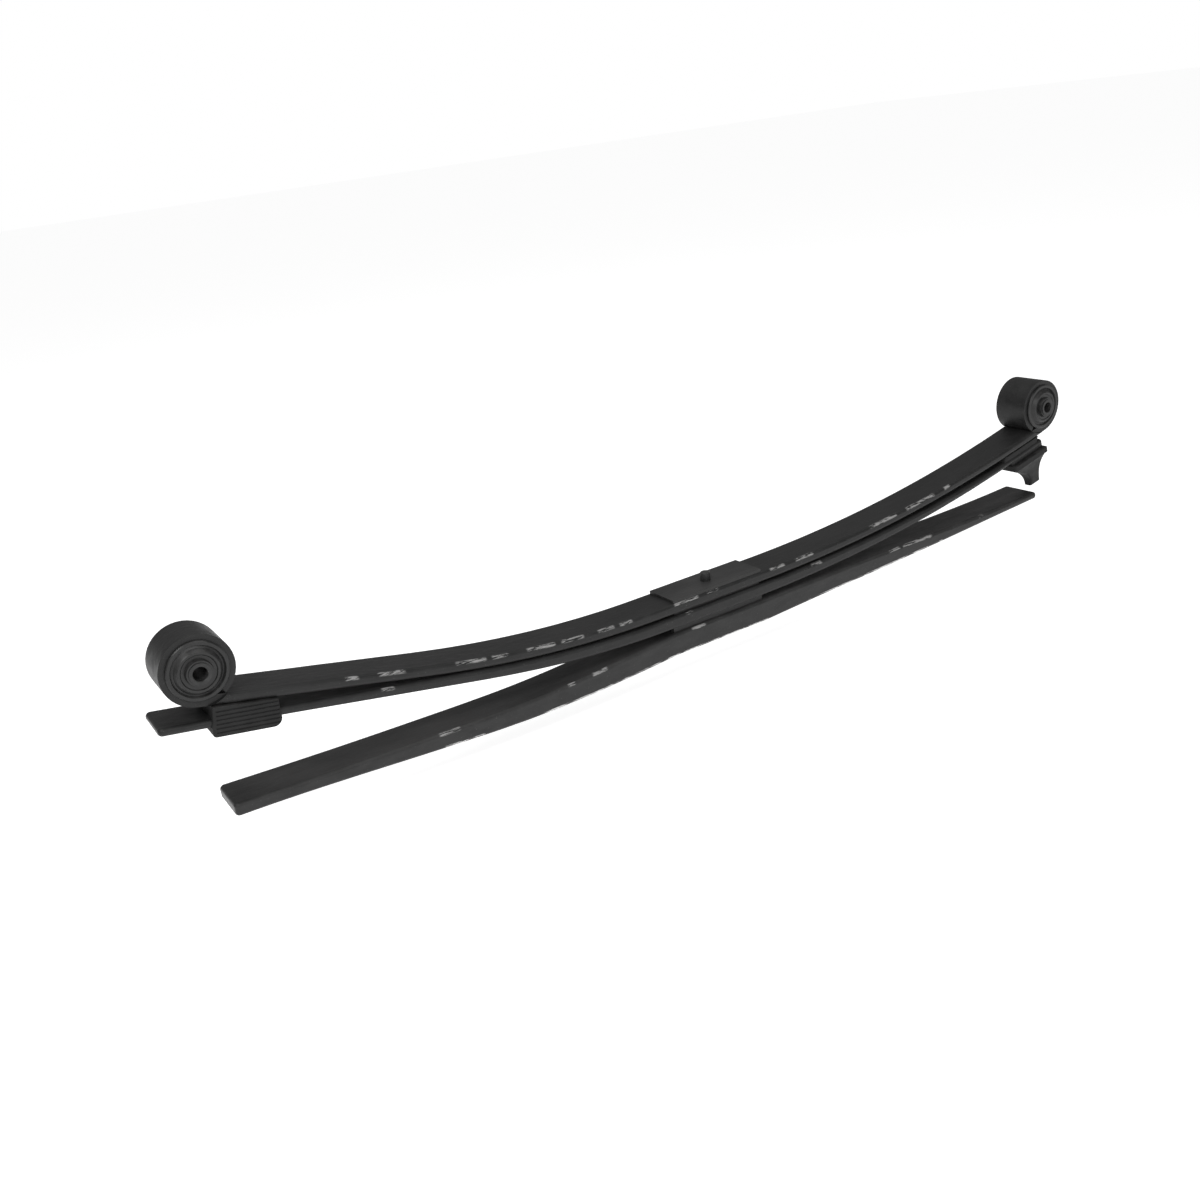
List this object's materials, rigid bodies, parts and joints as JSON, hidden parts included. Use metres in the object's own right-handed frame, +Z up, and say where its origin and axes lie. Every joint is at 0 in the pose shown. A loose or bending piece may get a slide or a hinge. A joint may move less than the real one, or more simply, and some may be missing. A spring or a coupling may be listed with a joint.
{
  "type": "leaf spring",
  "caption": "Parabolic leaf spring for a light van: two arched leaves with rubber-bushed eyes, a thick helper leaf below, and a rubber bump stop at the rear.",
  "frame": {"origin": "axis of the centre bolt in the upper face of the top plate, where the spring is clamped", "axes": "+X towards the rear eye along the spring, +Y to the right side along the eye axes, +Z up, so the eyes stand above the seat"},
  "size_m": [1.6481, 0.09, 0.2801],
  "materials": {
    "leaf_paint": "satin",
    "plate_paint": "satin",
    "bolt_steel": "satin",
    "shell_steel": "satin",
    "sleeve_steel": "satin",
    "bush_rubber": "matte",
    "pad_rubber": "matte"
  },
  "bodies": {
    "clamped_pack": {"main_leaf": "leaf_paint", "second_leaf": "leaf_paint", "helper_leaf": "leaf_paint", "top_plate": "plate_paint", "pack_liner": "plate_paint", "pack_spacer": "plate_paint", "centre_bolt": "bolt_steel", "centre_washer": "bolt_steel", "centre_nut": "bolt_steel"},
    "front_end": {"front_bush_shell": "shell_steel", "front_bush_rubber": "bush_rubber", "front_pad": "pad_rubber"},
    "front_pivot": {"front_bush_sleeve": "sleeve_steel"},
    "rear_end": {"rear_bush_shell": "shell_steel", "rear_bush_rubber": "bush_rubber", "rear_pad": "pad_rubber", "stop_plate": "plate_paint", "bump_stop": "pad_rubber", "stop_rivet": "bolt_steel"},
    "rear_pivot": {"rear_bush_sleeve": "sleeve_steel"}
  },
  "joints": [
    {"name": "front_flex", "type": "hinge", "parent": "clamped_pack", "child": "front_end", "pos_m": [-0.435, 0, 0.008], "axis": [0, -1, 0], "range_deg": [-3, 15], "stiffness_Nm_per_rad": 9000, "deforming": ["main_leaf", "second_leaf"]},
    {"name": "rear_flex", "type": "hinge", "parent": "clamped_pack", "child": "rear_end", "pos_m": [0.417, 0, -0.0035], "axis": [0, 1, 0], "range_deg": [-3, 12], "stiffness_Nm_per_rad": 9500, "deforming": ["main_leaf", "second_leaf", "helper_leaf"]},
    {"name": "front_bush_twist", "type": "hinge", "parent": "front_end", "child": "front_pivot", "pos_m": [-0.784, 0, 0.13388], "axis": [0, 1, 0], "range_deg": [-20, 20], "stiffness_Nm_per_rad": 100},
    {"name": "rear_bush_twist", "type": "hinge", "parent": "rear_end", "child": "rear_pivot", "pos_m": [0.753, 0, 0.10995], "axis": [0, 1, 0], "range_deg": [-20, 20], "stiffness_Nm_per_rad": 100}
  ]
}
